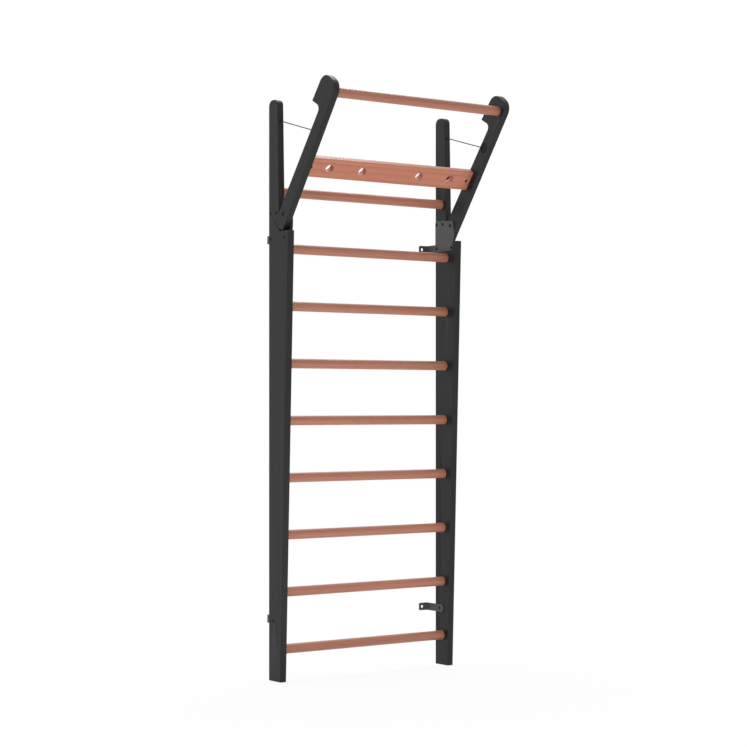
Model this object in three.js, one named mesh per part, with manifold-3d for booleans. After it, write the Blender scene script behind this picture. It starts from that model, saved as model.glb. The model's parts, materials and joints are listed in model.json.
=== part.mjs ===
// Swedish wall bars with a fold-out pull-up frame, shown with the frame swung out.
// Millimetres. +Z is up, +X to the right and -Y to the front.
// The origin lies on the wall, at floor level, midway between the uprights.
// Side outlines are drawn as (depth forward of the uprights' rear edges, height).

import * as THREE from "three";
import { mergeVertices } from "three/addons/utils/BufferGeometryUtils.js";
import Module from "manifold-3d";

const wasm = await Module();
wasm.setup();

// Overall sizes
const WIDTH = 766;
const WALL_GAP = 53;
const BOARD_THICKNESS = 25;
const EDGE_CHAMFER = 1;

// Rungs
const RUNG_COUNT = 9;
const RUNG_PITCH = 200;
const LOWEST_RUNG_HEIGHT = 111;
const RUNG_DIAMETER = 34;
const RUNG_END_CHAMFER = 2;
const SOCKET_FLOOR = 8;

// Uprights: a board that widens up to a ledge, and a slimmer post above it
const FOOT_DEPTH = 72;
const LEDGE_DEPTH = 123;
const LEDGE_ABOVE_RUNG = 60;
const POST_LENGTH = 461;
const POST_DEPTH_LOW = 65;
const POST_DEPTH_TOP = 54;
const POST_TOP_RADIUS = 22;

// Half-lapped swivel joint between the arms and the uprights
const SWING_ANGLE = THREE.MathUtils.degToRad(38);
const KNUCKLE_RADIUS = 55.6;
const KNUCKLE_CLEARANCE = 1.4;
const HEEL_RADIUS = 5;
const POST_NECK = 33;
const SWING_CLEARANCE = 0.5;
const LAP_CLEARANCE = 0.5;
const ARM_SIDE_CLEARANCE = 0.8;

// Arms
const ARM_DEPTH_AT_LEDGE = 121.5;
const ARM_DEPTH_AT_POST_TOP = 99;
const NOTCH_CLEARANCE = 1;
const NOTCH_RADIUS = 18;
const HEAD_ABOVE_POST = 114.5;
const HEAD_REAR = 2;
const HEAD_RADIUS = 39;
const HEAD_TOE_RADIUS = 1.2;

// Pull-up bar and drilled cross board
const BAR_DIAMETER = 34;
const BAR_DEPTH = 61;
const BAR_ABOVE_POST = 69;
const CROSS_BOARD_HEIGHT = 75;
const CROSS_BOARD_THICKNESS = 24;
const CROSS_BOARD_ABOVE_PIVOT = 189.5;
const CROSS_BOARD_INSET = 0.5;
const CROSS_BOARD_EDGE_RADIUS = 2.5;
const STRAP_HOLE_DIAMETER = 32;
const STRAP_HOLE_SPACING = 140;
const STRAP_HOLE_FROM_END = 94;

// Fittings that hold the cross board between the arms
const CROSS_NUT_DIAMETER = 10;
const CROSS_NUT_LENGTH = 16;
const CROSS_NUT_FROM_END = 17;
const ARM_STUD_DIAMETER = 6;
const ARM_STUD_IN_ARM = 14;

// Hinge plates of bent sheet steel, each with a tab to the wall
const STEEL_THICKNESS = 3;
const PLATE_REAR_INSET = 2.5;
const PLATE_TOP_REAR_ABOVE_PIVOT = 24;
const PLATE_TOP_FRONT_ABOVE_PIVOT = 17;
const PLATE_BOW_BELOW_PIVOT = 28;
const PLATE_BELOW_LEDGE = 33.5;
const PLATE_DEPTH_TOP = 106.5;
const PLATE_DEPTH_BOW = 113;
const PLATE_DEPTH_BOTTOM = 103;
const PLATE_CORNER_RADIUS = 8;
const PLATE_BOW_RADIUS = 130;
const PLATE_TAB_BELOW_LEDGE = 23;
const PLATE_TAB_FILLET = 4;
const PLATE_REAR_SCREW_DEPTH = 11;
const PLATE_MIDDLE_SCREW_DEPTH = 47;
const PLATE_FRONT_SCREW_DEPTH = 97.5;
const PLATE_TOP_SCREWS_ABOVE_PIVOT = 8;
const PLATE_LOW_SCREWS_BELOW_LEDGE = 24;

// Pivot bolts, their nuts in the arms' outer faces and their flanged bushes
const PIVOT_BOLT_DIAMETER = 8;
const PIVOT_HEAD_DIAMETER = 14;
const PIVOT_NUT_DIAMETER = 16;
const PIVOT_NUT_THICKNESS = 5;
const PIVOT_NUT_PLAY = 0.6;
const BUSH_WALL = 2.4;
const BUSH_FLANGE_DIAMETER = 22;
const BUSH_FLANGE_THICKNESS = 2;

// Countersunk screws and the sleeve nuts they reach into, flush in the uprights' outer faces
const SCREW_DIAMETER = 6;
const SCREW_HEAD_DIAMETER = 12;
const SCREW_SHORT_OF_FACE = 7;
const SLEEVE_NUT_DIAMETER = 12;
const SLEEVE_NUT_LENGTH = 10;
const NUT_CAP = 1.5;

// Legs on the wall, and the wall brackets near the floor
const TAB_HEIGHT = 28;
const TAB_LENGTH = 38;
const TAB_BEND_RADIUS = 5.5;
const TAB_TIP_RADIUS = 6;
const TAB_HOLE_DIAMETER = 11;
const TAB_HOLE_FROM_TIP = 13.5;
const BRACKET_ABOVE_RUNG = 99.5;
const BRACKET_REACH = 49;
const BRACKET_SCREW_DEPTH = 28;

// Stay cables, the stops pressed onto their rear ends and the anchors in the arms
const CABLE_DIAMETER = 4;
const CABLE_PLAY = 0.7;
const CABLE_BELOW_POST_TOP = 76;
const CABLE_TAIL = 1.5;
const STOP_DIAMETER = 9;
const STOP_LENGTH = 12;
const STOP_BORE_DIAMETER = 15;
const STOP_SEAT_DEPTH = 17;
const POCKET_DIAMETER = 38;
const POCKET_FLOOR = 5.5;
const ANCHOR_INSET = 2;
const CABLE_PAST_CENTRE = 8;

// Clearance between pieces that fit together, and the fineness of round forms
const FIT_GAP = 0.3;
const CUT_MARGIN = 2;
const MERGE_DISTANCE = 1e-4;
const CURVE_SEGMENTS = 5;
const RUNG_SIDES = 24;
const HOLE_SIDES = 16;
const SCREW_SIDES = 12;
const CABLE_SIDES = 10;
const STRAIGHT_DOWN = 1.5 * Math.PI;

// Heights and depths that follow from the sizes above
const OUTER = WIDTH / 2;
const INNER = OUTER - BOARD_THICKNESS;
const LEDGE_HEIGHT = LOWEST_RUNG_HEIGHT + RUNG_PITCH * (RUNG_COUNT - 2) + LEDGE_ABOVE_RUNG;
const POST_HEIGHT = LEDGE_HEIGHT + POST_LENGTH;
const RECESS_RADIUS = KNUCKLE_RADIUS + KNUCKLE_CLEARANCE;
const PIVOT = new THREE.Vector2(POST_NECK + RECESS_RADIUS, LEDGE_HEIGHT + RECESS_RADIUS);
const ARM_INNER = INNER + ARM_SIDE_CLEARANCE;
const LAP_FACE = (OUTER + INNER) / 2;
const CABLE_HEIGHT = POST_HEIGHT - CABLE_BELOW_POST_TOP;
const CABLE_BORE_RADIUS = CABLE_DIAMETER / 2 + CABLE_PLAY;
const SOCKET_END = OUTER - SOCKET_FLOOR;

// Value at height z of an edge that runs straight from (lowZ, low) to (highZ, high)
function edgeAt(z, lowZ, low, highZ, high) {
  return low + ((high - low) * (z - lowZ)) / (highZ - lowZ);
}

function uprightFront(z) {
  return edgeAt(z, 0, FOOT_DEPTH, LEDGE_HEIGHT, LEDGE_DEPTH);
}

function postFront(z) {
  return edgeAt(z, LEDGE_HEIGHT, POST_DEPTH_LOW, POST_HEIGHT, POST_DEPTH_TOP);
}

function armRear(z) {
  return postFront(z) + SWING_CLEARANCE;
}

function armFront(z) {
  return edgeAt(z, LEDGE_HEIGHT, ARM_DEPTH_AT_LEDGE, POST_HEIGHT, ARM_DEPTH_AT_POST_TOP);
}

// A side-view point as seen from the pivot, which is the pull-up frame's own origin
function fromPivot(depth, height) {
  return new THREE.Vector2(depth, height).sub(PIVOT);
}

// Materials
const blackWood = new THREE.MeshStandardMaterial({ color: 0x35353a, roughness: 0.6 });
const cherryWood = new THREE.MeshStandardMaterial({ color: 0xb46f58, roughness: 0.5 });
const greySteel = new THREE.MeshStandardMaterial({ color: 0x5a5a5c, roughness: 0.5, metalness: 0.8 });
const blackSteel = new THREE.MeshStandardMaterial({ color: 0x2c2c2e, roughness: 0.5, metalness: 0.8 });
const brightSteel = new THREE.MeshStandardMaterial({ color: 0xa8a8a8, roughness: 0.35, metalness: 1 });
const bronze = new THREE.MeshStandardMaterial({ color: 0x9a7440, roughness: 0.4, metalness: 1 });

// A closed geometry as a solid that can be joined and cut
function solidOf(geometry) {
  const bare = geometry.clone();
  bare.deleteAttribute("normal");
  bare.deleteAttribute("uv");
  const merged = mergeVertices(bare, MERGE_DISTANCE);
  const index = merged.index.array;
  const triVerts = [];
  for (let i = 0; i < index.length; i += 3) {
    const [a, b, c] = index.slice(i, i + 3);
    if (a !== b && b !== c && c !== a) triVerts.push(a, b, c);
  }
  return new wasm.Manifold(
    new wasm.Mesh({
      numProp: 3,
      vertProperties: merged.attributes.position.array,
      triVerts: new Uint32Array(triVerts),
    }),
  );
}

function geometryOf(solid) {
  const mesh = solid.getMesh();
  const geometry = new THREE.BufferGeometry();
  geometry.setAttribute("position", new THREE.BufferAttribute(mesh.vertProperties, 3));
  geometry.setIndex(new THREE.BufferAttribute(mesh.triVerts, 1));
  geometry.computeVertexNormals();
  return geometry;
}

function addPiece(group, name, solid, material) {
  const mesh = new THREE.Mesh(geometryOf(solid), material);
  mesh.name = name;
  group.add(mesh);
}

// Draws straight edges through the points of a chain, rounding each inner corner to its radius
function drawChain(path, chain) {
  for (let i = 1; i < chain.length - 1; i += 1) {
    const { at, radius } = chain[i];
    if (!radius) {
      path.lineTo(at.x, at.y);
      continue;
    }
    const back = chain[i - 1].at.clone().sub(at).normalize();
    const ahead = chain[i + 1].at.clone().sub(at).normalize();
    const half = Math.acos(back.dot(ahead)) / 2;
    const start = at.clone().addScaledVector(back, radius / Math.tan(half));
    const end = at.clone().addScaledVector(ahead, radius / Math.tan(half));
    const middle = back.clone().add(ahead).normalize();
    const centre = at.clone().addScaledVector(middle, radius / Math.sin(half));
    const startAngle = start.clone().sub(centre).angle();
    const endAngle = end.clone().sub(centre).angle();
    path.lineTo(start.x, start.y);
    path.absarc(centre.x, centre.y, radius, startAngle, endAngle, back.cross(ahead) > 0);
  }
  const last = chain[chain.length - 1].at;
  path.lineTo(last.x, last.y);
}

function corner(x, y, radius = 0) {
  return { at: new THREE.Vector2(x, y), radius };
}

// A closed outline through corners, each rounded to its own radius
function outline(corners) {
  const last = corners[corners.length - 1].at;
  const start = corners[0].at.clone().lerp(last, 1 / 2);
  const shape = new THREE.Shape();
  shape.moveTo(start.x, start.y);
  drawChain(shape, [{ at: start }, ...corners, { at: start }]);
  return shape;
}

// Thickens an outline by a length along its own normal, with an optional edge chamfer
function thicken(shape, length, chamfer = 0) {
  const geometry = new THREE.ExtrudeGeometry(shape, {
    depth: length - 2 * chamfer,
    curveSegments: CURVE_SEGMENTS,
    bevelEnabled: chamfer > 0,
    bevelThickness: chamfer,
    bevelSize: chamfer,
    bevelOffset: -chamfer,
    bevelSegments: 1,
  });
  return geometry.translate(0, 0, chamfer);
}

// Turns (depth, height, thickness) into the object's axes: depth runs to the front, thickness to -X
const SIDE_VIEW = new THREE.Matrix4().makeBasis(
  new THREE.Vector3(0, -1, 0),
  new THREE.Vector3(0, 0, 1),
  new THREE.Vector3(-1, 0, 0),
);

// A side outline as a solid between two X places
function sideSolid(shape, xLow, xHigh, chamfer = 0) {
  const geometry = thicken(shape, xHigh - xLow, chamfer);
  return solidOf(geometry.applyMatrix4(SIDE_VIEW).translate(xHigh, 0, 0));
}

// A round rod between two X places, centred on a side-view point
function rodX(at, radius, xLow, xHigh, sides) {
  const geometry = new THREE.CylinderGeometry(radius, radius, xHigh - xLow, sides);
  geometry.rotateZ(Math.PI / 2);
  return solidOf(geometry.translate((xLow + xHigh) / 2, -at.x, at.y));
}

// A round rod in a side-view plane, from one point to another, at one X place
function rodInSide(from, to, radius, x, sides) {
  const along = to.clone().sub(from);
  const geometry = new THREE.CylinderGeometry(radius, radius, along.length(), sides);
  geometry.rotateX(Math.PI - along.angle());
  const middle = from.clone().lerp(to, 1 / 2);
  return solidOf(geometry.translate(x, -middle.x, middle.y));
}

// A profile of (radius, place) turned about an axis along X, with places counted towards +X
function turnedX(profile, at, x, sides) {
  const geometry = new THREE.LatheGeometry(
    profile.map(([radius, place]) => new THREE.Vector2(radius, place)),
    sides,
  );
  geometry.rotateZ(-Math.PI / 2);
  return solidOf(geometry.translate(x, -at.x, at.y));
}

// Height and depth of the rungs: each lies midway between the front and rear edges
function rungPlace(number) {
  const height = LOWEST_RUNG_HEIGHT + RUNG_PITCH * (number - 1);
  const front = height > LEDGE_HEIGHT ? postFront(height) : uprightFront(height);
  return new THREE.Vector2(front / 2, height);
}

const rungNumbers = Array.from({ length: RUNG_COUNT }, (_, i) => i + 1);

// A turned bar with chamfered ends that reaches into the sockets on both sides
function socketedBar(at, diameter) {
  const radius = diameter / 2;
  const end = SOCKET_END - FIT_GAP;
  const profile = [
    [0, -end],
    [radius - RUNG_END_CHAMFER, -end],
    [radius, -end + RUNG_END_CHAMFER],
    [radius, end - RUNG_END_CHAMFER],
    [radius - RUNG_END_CHAMFER, end],
    [0, end],
  ];
  return turnedX(profile, at, 0, RUNG_SIDES);
}

function socket(at, diameter, xFace) {
  return rodX(at, diameter / 2 + FIT_GAP, xFace - CUT_MARGIN, SOCKET_END, RUNG_SIDES);
}

// Places of the countersunk screws in the hinge plates and in the wall brackets
const topScrewHeight = PIVOT.y + PLATE_TOP_SCREWS_ABOVE_PIVOT;
const lowScrewHeight = LEDGE_HEIGHT - PLATE_LOW_SCREWS_BELOW_LEDGE;
const plateScrews = [
  new THREE.Vector2(PLATE_REAR_SCREW_DEPTH, topScrewHeight),
  new THREE.Vector2(PLATE_MIDDLE_SCREW_DEPTH, topScrewHeight),
  new THREE.Vector2(PLATE_FRONT_SCREW_DEPTH, lowScrewHeight),
  new THREE.Vector2(PLATE_REAR_SCREW_DEPTH, lowScrewHeight),
];
const bracketHeight = LOWEST_RUNG_HEIGHT + BRACKET_ABOVE_RUNG;
const bracketScrew = new THREE.Vector2(BRACKET_SCREW_DEPTH, bracketHeight);

// Inner face of the steel, where the countersunk heads lie flush
const STEEL_FACE = INNER - STEEL_THICKNESS;

// Cable run with the frame swung out: from a seat in the post to a pocket in the arm
const pocketFolded = new THREE.Vector2(
  (armRear(CABLE_HEIGHT) + armFront(CABLE_HEIGHT)) / 2,
  CABLE_HEIGHT,
);
const pocketOut = pocketFolded.clone().rotateAround(PIVOT, -SWING_ANGLE);
const postExit = new THREE.Vector2(postFront(CABLE_HEIGHT), CABLE_HEIGHT);
const cableWay = pocketOut.clone().sub(postExit).normalize();
const postRearHole = postExit.clone().addScaledVector(cableWay, -postExit.x / cableWay.x);
const cableX = LAP_FACE;

function alongCable(from, distance) {
  return from.clone().addScaledVector(cableWay, distance);
}

// A point of the swung-out frame, given in the folded frame seen from the pivot
function folded(point) {
  return point.clone().rotateAround(PIVOT, SWING_ANGLE).sub(PIVOT);
}

// Draws the arm's knuckle on from a rear edge that runs up along rearUp, at a distance behind
// the pivot: a rounded heel, then an arc about the pivot
function drawKnuckle(path, pivot, rearUp, rearGap, radius, heelRadius, endAngle) {
  const rearOut = new THREE.Vector2(-rearUp.y, rearUp.x);
  const inset = rearGap - heelRadius;
  const drop = Math.sqrt((radius - heelRadius) ** 2 - inset ** 2);
  const heel = rearOut.clone().multiplyScalar(inset).addScaledVector(rearUp, -drop);
  const start = heel.clone().addScaledVector(rearOut, heelRadius).add(pivot);
  path.lineTo(start.x, start.y);
  path.absarc(pivot.x + heel.x, pivot.y + heel.y, heelRadius, rearOut.angle(), heel.angle(), false);
  path.absarc(pivot.x, pivot.y, radius, heel.angle(), endAngle, false);
}

// Direction of the arms' rear edges in the folded frame, and how far they lie behind the pivot
const armRearUp = fromPivot(armRear(POST_HEIGHT), POST_HEIGHT)
  .sub(fromPivot(armRear(PIVOT.y), PIVOT.y))
  .normalize();
const armRearGap = armRearUp.cross(fromPivot(armRear(PIVOT.y), PIVOT.y));

// Recess for the knuckle: its rear wall is where the swung-out arm's rear edge comes to rest
function recessOutline() {
  const rearUp = armRearUp.clone().rotateAround(new THREE.Vector2(), -SWING_ANGLE);
  const rearGap = armRearGap + SWING_CLEARANCE;
  const top = new THREE.Vector2(-rearUp.y, rearUp.x).multiplyScalar(rearGap).add(PIVOT);
  top.addScaledVector(rearUp, RECESS_RADIUS);
  const shape = new THREE.Shape();
  shape.moveTo(top.x, top.y);
  drawKnuckle(shape, PIVOT, rearUp, rearGap, RECESS_RADIUS, HEEL_RADIUS, STRAIGHT_DOWN);
  return shape;
}

// Upright: one board, with a recess for the arm's knuckle milled into its outer half
function uprightSolid() {
  const shape = outline([
    corner(0, 0),
    corner(FOOT_DEPTH, 0),
    corner(LEDGE_DEPTH, LEDGE_HEIGHT),
    corner(POST_DEPTH_LOW, LEDGE_HEIGHT),
    corner(POST_DEPTH_TOP, POST_HEIGHT, POST_TOP_RADIUS),
    corner(0, POST_HEIGHT, POST_TOP_RADIUS),
  ]);
  let solid = sideSolid(shape, INNER, OUTER, EDGE_CHAMFER);
  solid = solid.subtract(sideSolid(recessOutline(), LAP_FACE, OUTER + CUT_MARGIN));
  for (const number of rungNumbers) {
    solid = solid.subtract(socket(rungPlace(number), RUNG_DIAMETER, INNER));
  }
  for (const at of [...plateScrews, bracketScrew]) {
    solid = solid.subtract(screwHole(at)).subtract(sleeveNutSeat(at));
  }
  const boreStart = alongCable(postRearHole, -CUT_MARGIN);
  const seatStart = alongCable(postRearHole, -STOP_BORE_DIAMETER);
  const seat = alongCable(postRearHole, STOP_SEAT_DEPTH);
  const boreEnd = alongCable(postExit, CUT_MARGIN);
  solid = solid.subtract(rodInSide(boreStart, boreEnd, CABLE_BORE_RADIUS, cableX, CABLE_SIDES));
  return solid.subtract(rodInSide(seatStart, seat, STOP_BORE_DIAMETER / 2, cableX, HOLE_SIDES));
}

// Profile of a countersunk screw, counted from its flush head
function countersunk(headDiameter, shankDiameter, length) {
  const head = headDiameter / 2;
  const shank = shankDiameter / 2;
  return [
    [0, 0],
    [head, 0],
    [shank, head - shank],
    [shank, length],
    [0, length],
  ];
}

// Profile of the hole that a countersunk screw fits, open towards its head
function countersunkHole(headDiameter, shankDiameter, length) {
  const head = headDiameter / 2 + FIT_GAP;
  const shank = shankDiameter / 2 + FIT_GAP;
  return [
    [0, -CUT_MARGIN],
    [head, -CUT_MARGIN],
    [head, 0],
    [shank, head - shank],
    [shank, length + FIT_GAP],
    [0, length + FIT_GAP],
  ];
}

const screwLength = STEEL_THICKNESS + BOARD_THICKNESS - SCREW_SHORT_OF_FACE;

function screwSolid(at) {
  const profile = countersunk(SCREW_HEAD_DIAMETER, SCREW_DIAMETER, screwLength);
  return turnedX(profile, at, STEEL_FACE, SCREW_SIDES);
}

function screwHole(at) {
  const profile = countersunkHole(SCREW_HEAD_DIAMETER, SCREW_DIAMETER, screwLength);
  return turnedX(profile, at, STEEL_FACE, SCREW_SIDES);
}

// Nut with a closed end, flush in an outer face and tapped from its inner end
function nutSolid(at, diameter, boltDiameter, length) {
  const radius = diameter / 2;
  const tapped = boltDiameter / 2 + FIT_GAP;
  const end = length - FIT_GAP;
  const profile = [
    [tapped, 0],
    [radius, 0],
    [radius, end],
    [0, end],
    [0, end - NUT_CAP],
    [tapped, end - NUT_CAP],
    [tapped, 0],
  ];
  return turnedX(profile, at, OUTER - length, SCREW_SIDES);
}

function sleeveNutSolid(at) {
  return nutSolid(at, SLEEVE_NUT_DIAMETER, SCREW_DIAMETER, SLEEVE_NUT_LENGTH);
}

function sleeveNutSeat(at) {
  const floor = OUTER - SLEEVE_NUT_LENGTH - FIT_GAP;
  return rodX(at, SLEEVE_NUT_DIAMETER / 2 + FIT_GAP, floor, OUTER + CUT_MARGIN, SCREW_SIDES);
}

// Sheet steel on the upright's inner face, bent to a drilled tab on the wall.
// The side corners run from the tab's lower edge round the front to its upper edge.
function bentSteel(sideCorners, tabMiddle, screws) {
  const heights = sideCorners.map(({ at }) => at.y);
  const reach = Math.max(...sideCorners.map(({ at }) => at.x)) + CUT_MARGIN;
  const low = Math.min(...heights) - CUT_MARGIN;
  const high = Math.max(...heights) + CUT_MARGIN;
  const tip = INNER - TAB_LENGTH;
  const plan = outline([
    corner(INNER, -reach),
    corner(INNER, WALL_GAP, TAB_BEND_RADIUS),
    corner(tip, WALL_GAP),
    corner(tip, WALL_GAP - STEEL_THICKNESS),
    corner(STEEL_FACE, WALL_GAP - STEEL_THICKNESS, TAB_BEND_RADIUS - STEEL_THICKNESS),
    corner(STEEL_FACE, -reach),
  ]);
  const bent = solidOf(thicken(plan, high - low).translate(0, 0, low));
  const sideForm = sideSolid(outline(sideCorners), tip - CUT_MARGIN, INNER + CUT_MARGIN);
  const tabLow = tabMiddle - TAB_HEIGHT / 2;
  const tabHigh = tabMiddle + TAB_HEIGHT / 2;
  const bend = STEEL_FACE - TAB_BEND_RADIUS;
  const wallShape = outline([
    corner(tip, tabLow, TAB_TIP_RADIUS),
    corner(bend, tabLow),
    corner(bend, low),
    corner(INNER + CUT_MARGIN, low),
    corner(INNER + CUT_MARGIN, high),
    corner(bend, high),
    corner(bend, tabHigh),
    corner(tip, tabHigh, TAB_TIP_RADIUS),
  ]);
  const wallForm = thicken(wallShape, WALL_GAP + reach + CUT_MARGIN).rotateX(Math.PI / 2);
  wallForm.translate(0, WALL_GAP + CUT_MARGIN, 0);
  let solid = bent.intersect(sideForm).intersect(solidOf(wallForm));
  for (const at of screws) {
    solid = solid.subtract(screwHole(at));
  }
  const holeStart = new THREE.Vector2(-WALL_GAP - CUT_MARGIN, tabMiddle);
  const holeEnd = new THREE.Vector2(-WALL_GAP + STEEL_THICKNESS + CUT_MARGIN, tabMiddle);
  const holeX = tip + TAB_HOLE_FROM_TIP;
  return solid.subtract(rodInSide(holeStart, holeEnd, TAB_HOLE_DIAMETER / 2, holeX, HOLE_SIDES));
}

// Hinge plate: carries the pivot bolt ahead of the post, with a bowed front edge
function hingePlateSolid() {
  const tabMiddle = LEDGE_HEIGHT - PLATE_TAB_BELOW_LEDGE;
  const tabLow = tabMiddle - TAB_HEIGHT / 2;
  const tabHigh = tabMiddle + TAB_HEIGHT / 2;
  const wall = -WALL_GAP - CUT_MARGIN;
  const sideCorners = [
    corner(wall, tabLow),
    corner(0, tabLow),
    corner(PLATE_DEPTH_BOTTOM, LEDGE_HEIGHT - PLATE_BELOW_LEDGE, PLATE_CORNER_RADIUS),
    corner(PLATE_DEPTH_BOW, PIVOT.y - PLATE_BOW_BELOW_PIVOT, PLATE_BOW_RADIUS),
    corner(PLATE_DEPTH_TOP, PIVOT.y + PLATE_TOP_FRONT_ABOVE_PIVOT, PLATE_CORNER_RADIUS),
    corner(PLATE_REAR_INSET, PIVOT.y + PLATE_TOP_REAR_ABOVE_PIVOT, PLATE_CORNER_RADIUS),
    corner(PLATE_REAR_INSET, tabHigh, PLATE_TAB_FILLET),
    corner(wall, tabHigh),
  ];
  const plate = bentSteel(sideCorners, tabMiddle, plateScrews);
  const seat = countersunkHole(PIVOT_HEAD_DIAMETER, PIVOT_BOLT_DIAMETER, BOARD_THICKNESS);
  return plate.subtract(turnedX(seat, PIVOT, STEEL_FACE, HOLE_SIDES));
}

// Wall bracket near the floor, with a round end on the upright
function wallBracketSolid() {
  const low = bracketHeight - TAB_HEIGHT / 2;
  const high = bracketHeight + TAB_HEIGHT / 2;
  const roundEnd = TAB_HEIGHT / 2 - FIT_GAP;
  const sideCorners = [
    corner(-WALL_GAP - CUT_MARGIN, low),
    corner(BRACKET_REACH, low, roundEnd),
    corner(BRACKET_REACH, high, roundEnd),
    corner(-WALL_GAP - CUT_MARGIN, high),
  ];
  return bentSteel(sideCorners, bracketHeight, [bracketScrew]);
}

// Pivot bolt: its head is flush in the plate, its shank is the arm's axle and its end is in a nut
function pivotBoltSolid() {
  const length = OUTER - NUT_CAP - 2 * FIT_GAP - STEEL_FACE;
  const profile = countersunk(PIVOT_HEAD_DIAMETER, PIVOT_BOLT_DIAMETER, length);
  return turnedX(profile, PIVOT, STEEL_FACE, HOLE_SIDES);
}

function pivotNutSolid() {
  return nutSolid(PIVOT, PIVOT_NUT_DIAMETER, PIVOT_BOLT_DIAMETER, PIVOT_NUT_THICKNESS);
}

// Flanged bush: lines the arm's bore, and its flange keeps the arm off the plate
const bushBore = PIVOT_BOLT_DIAMETER / 2 + FIT_GAP;
const bushRadius = bushBore + BUSH_WALL;
const bushStart = INNER + FIT_GAP;
const bushEnd = OUTER - PIVOT_NUT_THICKNESS - FIT_GAP;

function pivotBushSolid() {
  const flange = BUSH_FLANGE_DIAMETER / 2;
  const length = bushEnd - bushStart;
  const profile = [
    [bushBore, 0],
    [flange, 0],
    [flange, BUSH_FLANGE_THICKNESS],
    [bushRadius, BUSH_FLANGE_THICKNESS],
    [bushRadius, length],
    [bushBore, length],
    [bushBore, 0],
  ];
  return turnedX(profile, new THREE.Vector2(), bushStart, HOLE_SIDES);
}

// Stop pressed onto a cable's rear end: a short sleeve round it
const cableHole = CABLE_DIAMETER / 2 + FIT_GAP;
const stopEnd = alongCable(postRearHole, STOP_SEAT_DEPTH - FIT_GAP);
const stopStart = alongCable(stopEnd, -STOP_LENGTH);

function postStopSolid() {
  const sleeve = rodInSide(stopStart, stopEnd, STOP_DIAMETER / 2, cableX, HOLE_SIDES);
  const start = alongCable(stopStart, -CUT_MARGIN);
  const end = alongCable(stopEnd, CUT_MARGIN);
  return sleeve.subtract(rodInSide(start, end, cableHole, cableX, CABLE_SIDES));
}

// Anchor of a cable's front end: a round block in the arm's pocket, drilled for the cable
const pocketPlace = fromPivot(pocketFolded.x, pocketFolded.y);

function armAnchorSolid() {
  const radius = POCKET_DIAMETER / 2 - FIT_GAP;
  const end = OUTER - POCKET_FLOOR - FIT_GAP;
  const block = rodX(pocketPlace, radius, ARM_INNER + ANCHOR_INSET, end, RUNG_SIDES);
  const holeStart = folded(alongCable(pocketOut, -POCKET_DIAMETER));
  const holeEnd = folded(alongCable(pocketOut, CABLE_PAST_CENTRE + FIT_GAP));
  return block.subtract(rodInSide(holeStart, holeEnd, cableHole, cableX, CABLE_SIDES));
}

function cableSolid() {
  const start = alongCable(stopStart, -CABLE_TAIL);
  const end = alongCable(pocketOut, CABLE_PAST_CENTRE);
  return rodInSide(start, end, CABLE_DIAMETER / 2, cableX, CABLE_SIDES);
}

// Where a line from a to b, seen from the pivot, leaves the knuckle's circle
function leavesKnuckle(a, b) {
  const way = b.clone().sub(a);
  const slope = a.dot(way) / way.lengthSq();
  const rest = (a.lengthSq() - KNUCKLE_RADIUS ** 2) / way.lengthSq();
  return a.clone().addScaledVector(way, -slope + Math.sqrt(slope ** 2 - rest));
}

// Height over which anything behind the given depth swings clear of the post's rounded top
const postTopCentre = fromPivot(POST_TOP_RADIUS, POST_HEIGHT - POST_TOP_RADIUS);
const clearRadius = postTopCentre.length() + POST_TOP_RADIUS + NOTCH_CLEARANCE;

function clearHeight(depth) {
  return PIVOT.y + Math.sqrt(clearRadius ** 2 - (PIVOT.x - depth) ** 2);
}

// Arm outline: straight edges, a head that hooks over the post and a knuckle about the pivot
function armOutline() {
  const top = POST_HEIGHT + HEAD_ABOVE_POST;
  const notchHeight = clearHeight(armRear(POST_HEIGHT));
  const frontLow = fromPivot(armFront(PIVOT.y), PIVOT.y);
  const frontHigh = fromPivot(armFront(top), top);
  const rearLow = fromPivot(armRear(PIVOT.y), PIVOT.y);
  const rearHigh = fromPivot(armRear(notchHeight), notchHeight);
  const frontEnd = leavesKnuckle(frontHigh, frontLow);
  const headTopRear = fromPivot(HEAD_REAR, top);
  const headToe = fromPivot(HEAD_REAR, clearHeight(HEAD_REAR));
  const headRadius = Math.min(HEAD_RADIUS, frontHigh.distanceTo(headTopRear) / 2 - EDGE_CHAMFER);
  const shape = new THREE.Shape();
  shape.moveTo(frontEnd.x, frontEnd.y);
  drawChain(shape, [
    { at: frontEnd },
    { at: frontHigh, radius: headRadius },
    { at: headTopRear, radius: headRadius },
    { at: headToe, radius: HEAD_TOE_RADIUS },
    { at: rearHigh, radius: NOTCH_RADIUS },
    { at: rearLow },
  ]);
  const pivot = new THREE.Vector2();
  const endAngle = frontEnd.angle();
  drawKnuckle(shape, pivot, armRearUp, armRearGap, KNUCKLE_RADIUS, HEEL_RADIUS, endAngle);
  return shape;
}

// The part of the arm's inner half that would meet the post anywhere in the swing
function lapCutSolid() {
  const reach = KNUCKLE_RADIUS + CUT_MARGIN;
  const gap = PIVOT.x - armRear(PIVOT.y);
  const rearHigh = fromPivot(armRear(PIVOT.y + reach), PIVOT.y + reach);
  const stopLow = fromPivot(armRear(PIVOT.y - reach), PIVOT.y - reach);
  stopLow.rotateAround(new THREE.Vector2(), SWING_ANGLE);
  const shape = new THREE.Shape();
  shape.moveTo(rearHigh.x, rearHigh.y);
  shape.lineTo(-gap, 0);
  shape.absarc(0, 0, gap, Math.PI, Math.PI + SWING_ANGLE, false);
  shape.lineTo(stopLow.x, stopLow.y);
  shape.lineTo(stopLow.x, -2 * reach);
  shape.lineTo(-2 * reach, -2 * reach);
  shape.lineTo(-2 * reach, rearHigh.y);
  return sideSolid(shape, ARM_INNER - CUT_MARGIN, LAP_FACE + LAP_CLEARANCE);
}

const barPlace = fromPivot(BAR_DEPTH, POST_HEIGHT + BAR_ABOVE_POST);

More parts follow.
